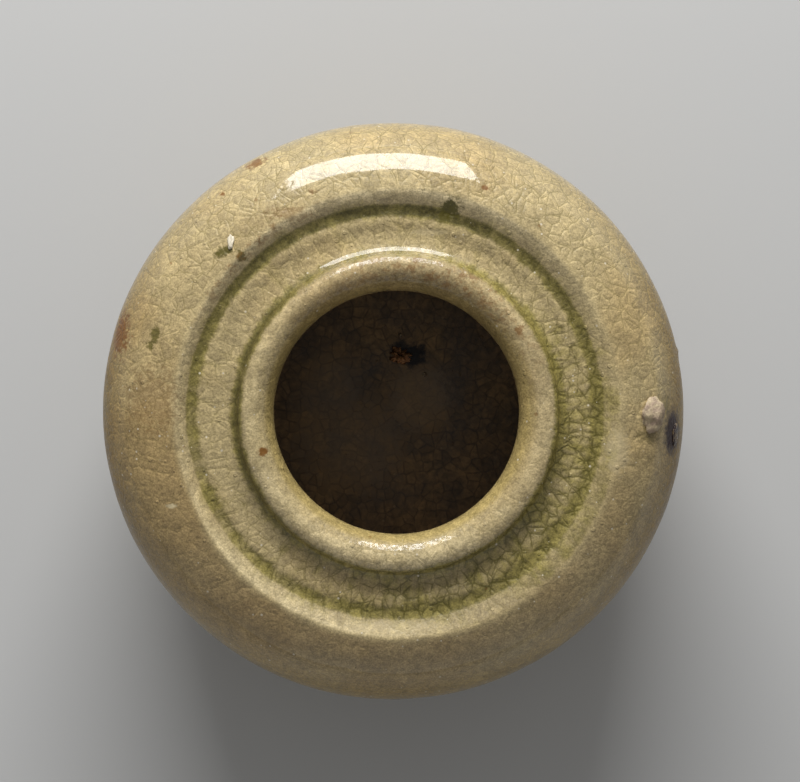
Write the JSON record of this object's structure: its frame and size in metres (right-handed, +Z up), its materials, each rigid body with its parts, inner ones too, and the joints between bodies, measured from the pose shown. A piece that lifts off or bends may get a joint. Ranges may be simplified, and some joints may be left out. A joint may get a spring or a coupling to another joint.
{
  "type": "incense jar",
  "caption": "Squat round stoneware jar in crackled grey-green glaze, with a rolled lip, a grooved ledge and a ridge round its open mouth.",
  "frame": {"origin": "on the surface it stands on, at the centre of the foot ring", "axes": "+Z up through the mouth; +X to the right and +Y to the top of the picture, which looks down the axis"},
  "size_m": [0.076, 0.076, 0.038],
  "materials": {
    "bare_clay": "unglazed stoneware, matt and sandy, grey-buff burnt to orange-brown",
    "celadon_glaze": "grey-green to olive-tan celadon, glossy, finely crackled, greener where it pools in the grooves",
    "dark_glaze": "dark olive-brown glaze, satin, with throwing rings and crackle",
    "pale_grit": "rough pale kiln grit",
    "iron_spot": "dark purple-brown iron blister, glossy",
    "kiln_chip": "rough orange-brown chip of fired clay",
    "quartz": "white quartz sand, rough"
  },
  "bodies": {
    "root": {"stoneware_body": "bare_clay", "outer_glaze": "celadon_glaze", "base_glaze": "celadon_glaze", "inner_glaze": "dark_glaze", "shoulder_grit": "pale_grit", "floor_grain_1": "pale_grit", "floor_grain_2": "pale_grit", "iron_blister": "iron_spot", "floor_chip": "kiln_chip", "ridge_grain": "quartz", "spur_chip_1": "quartz", "spur_chip_2": "quartz", "spur_chip_3": "quartz"}
  },
  "joints": []
}
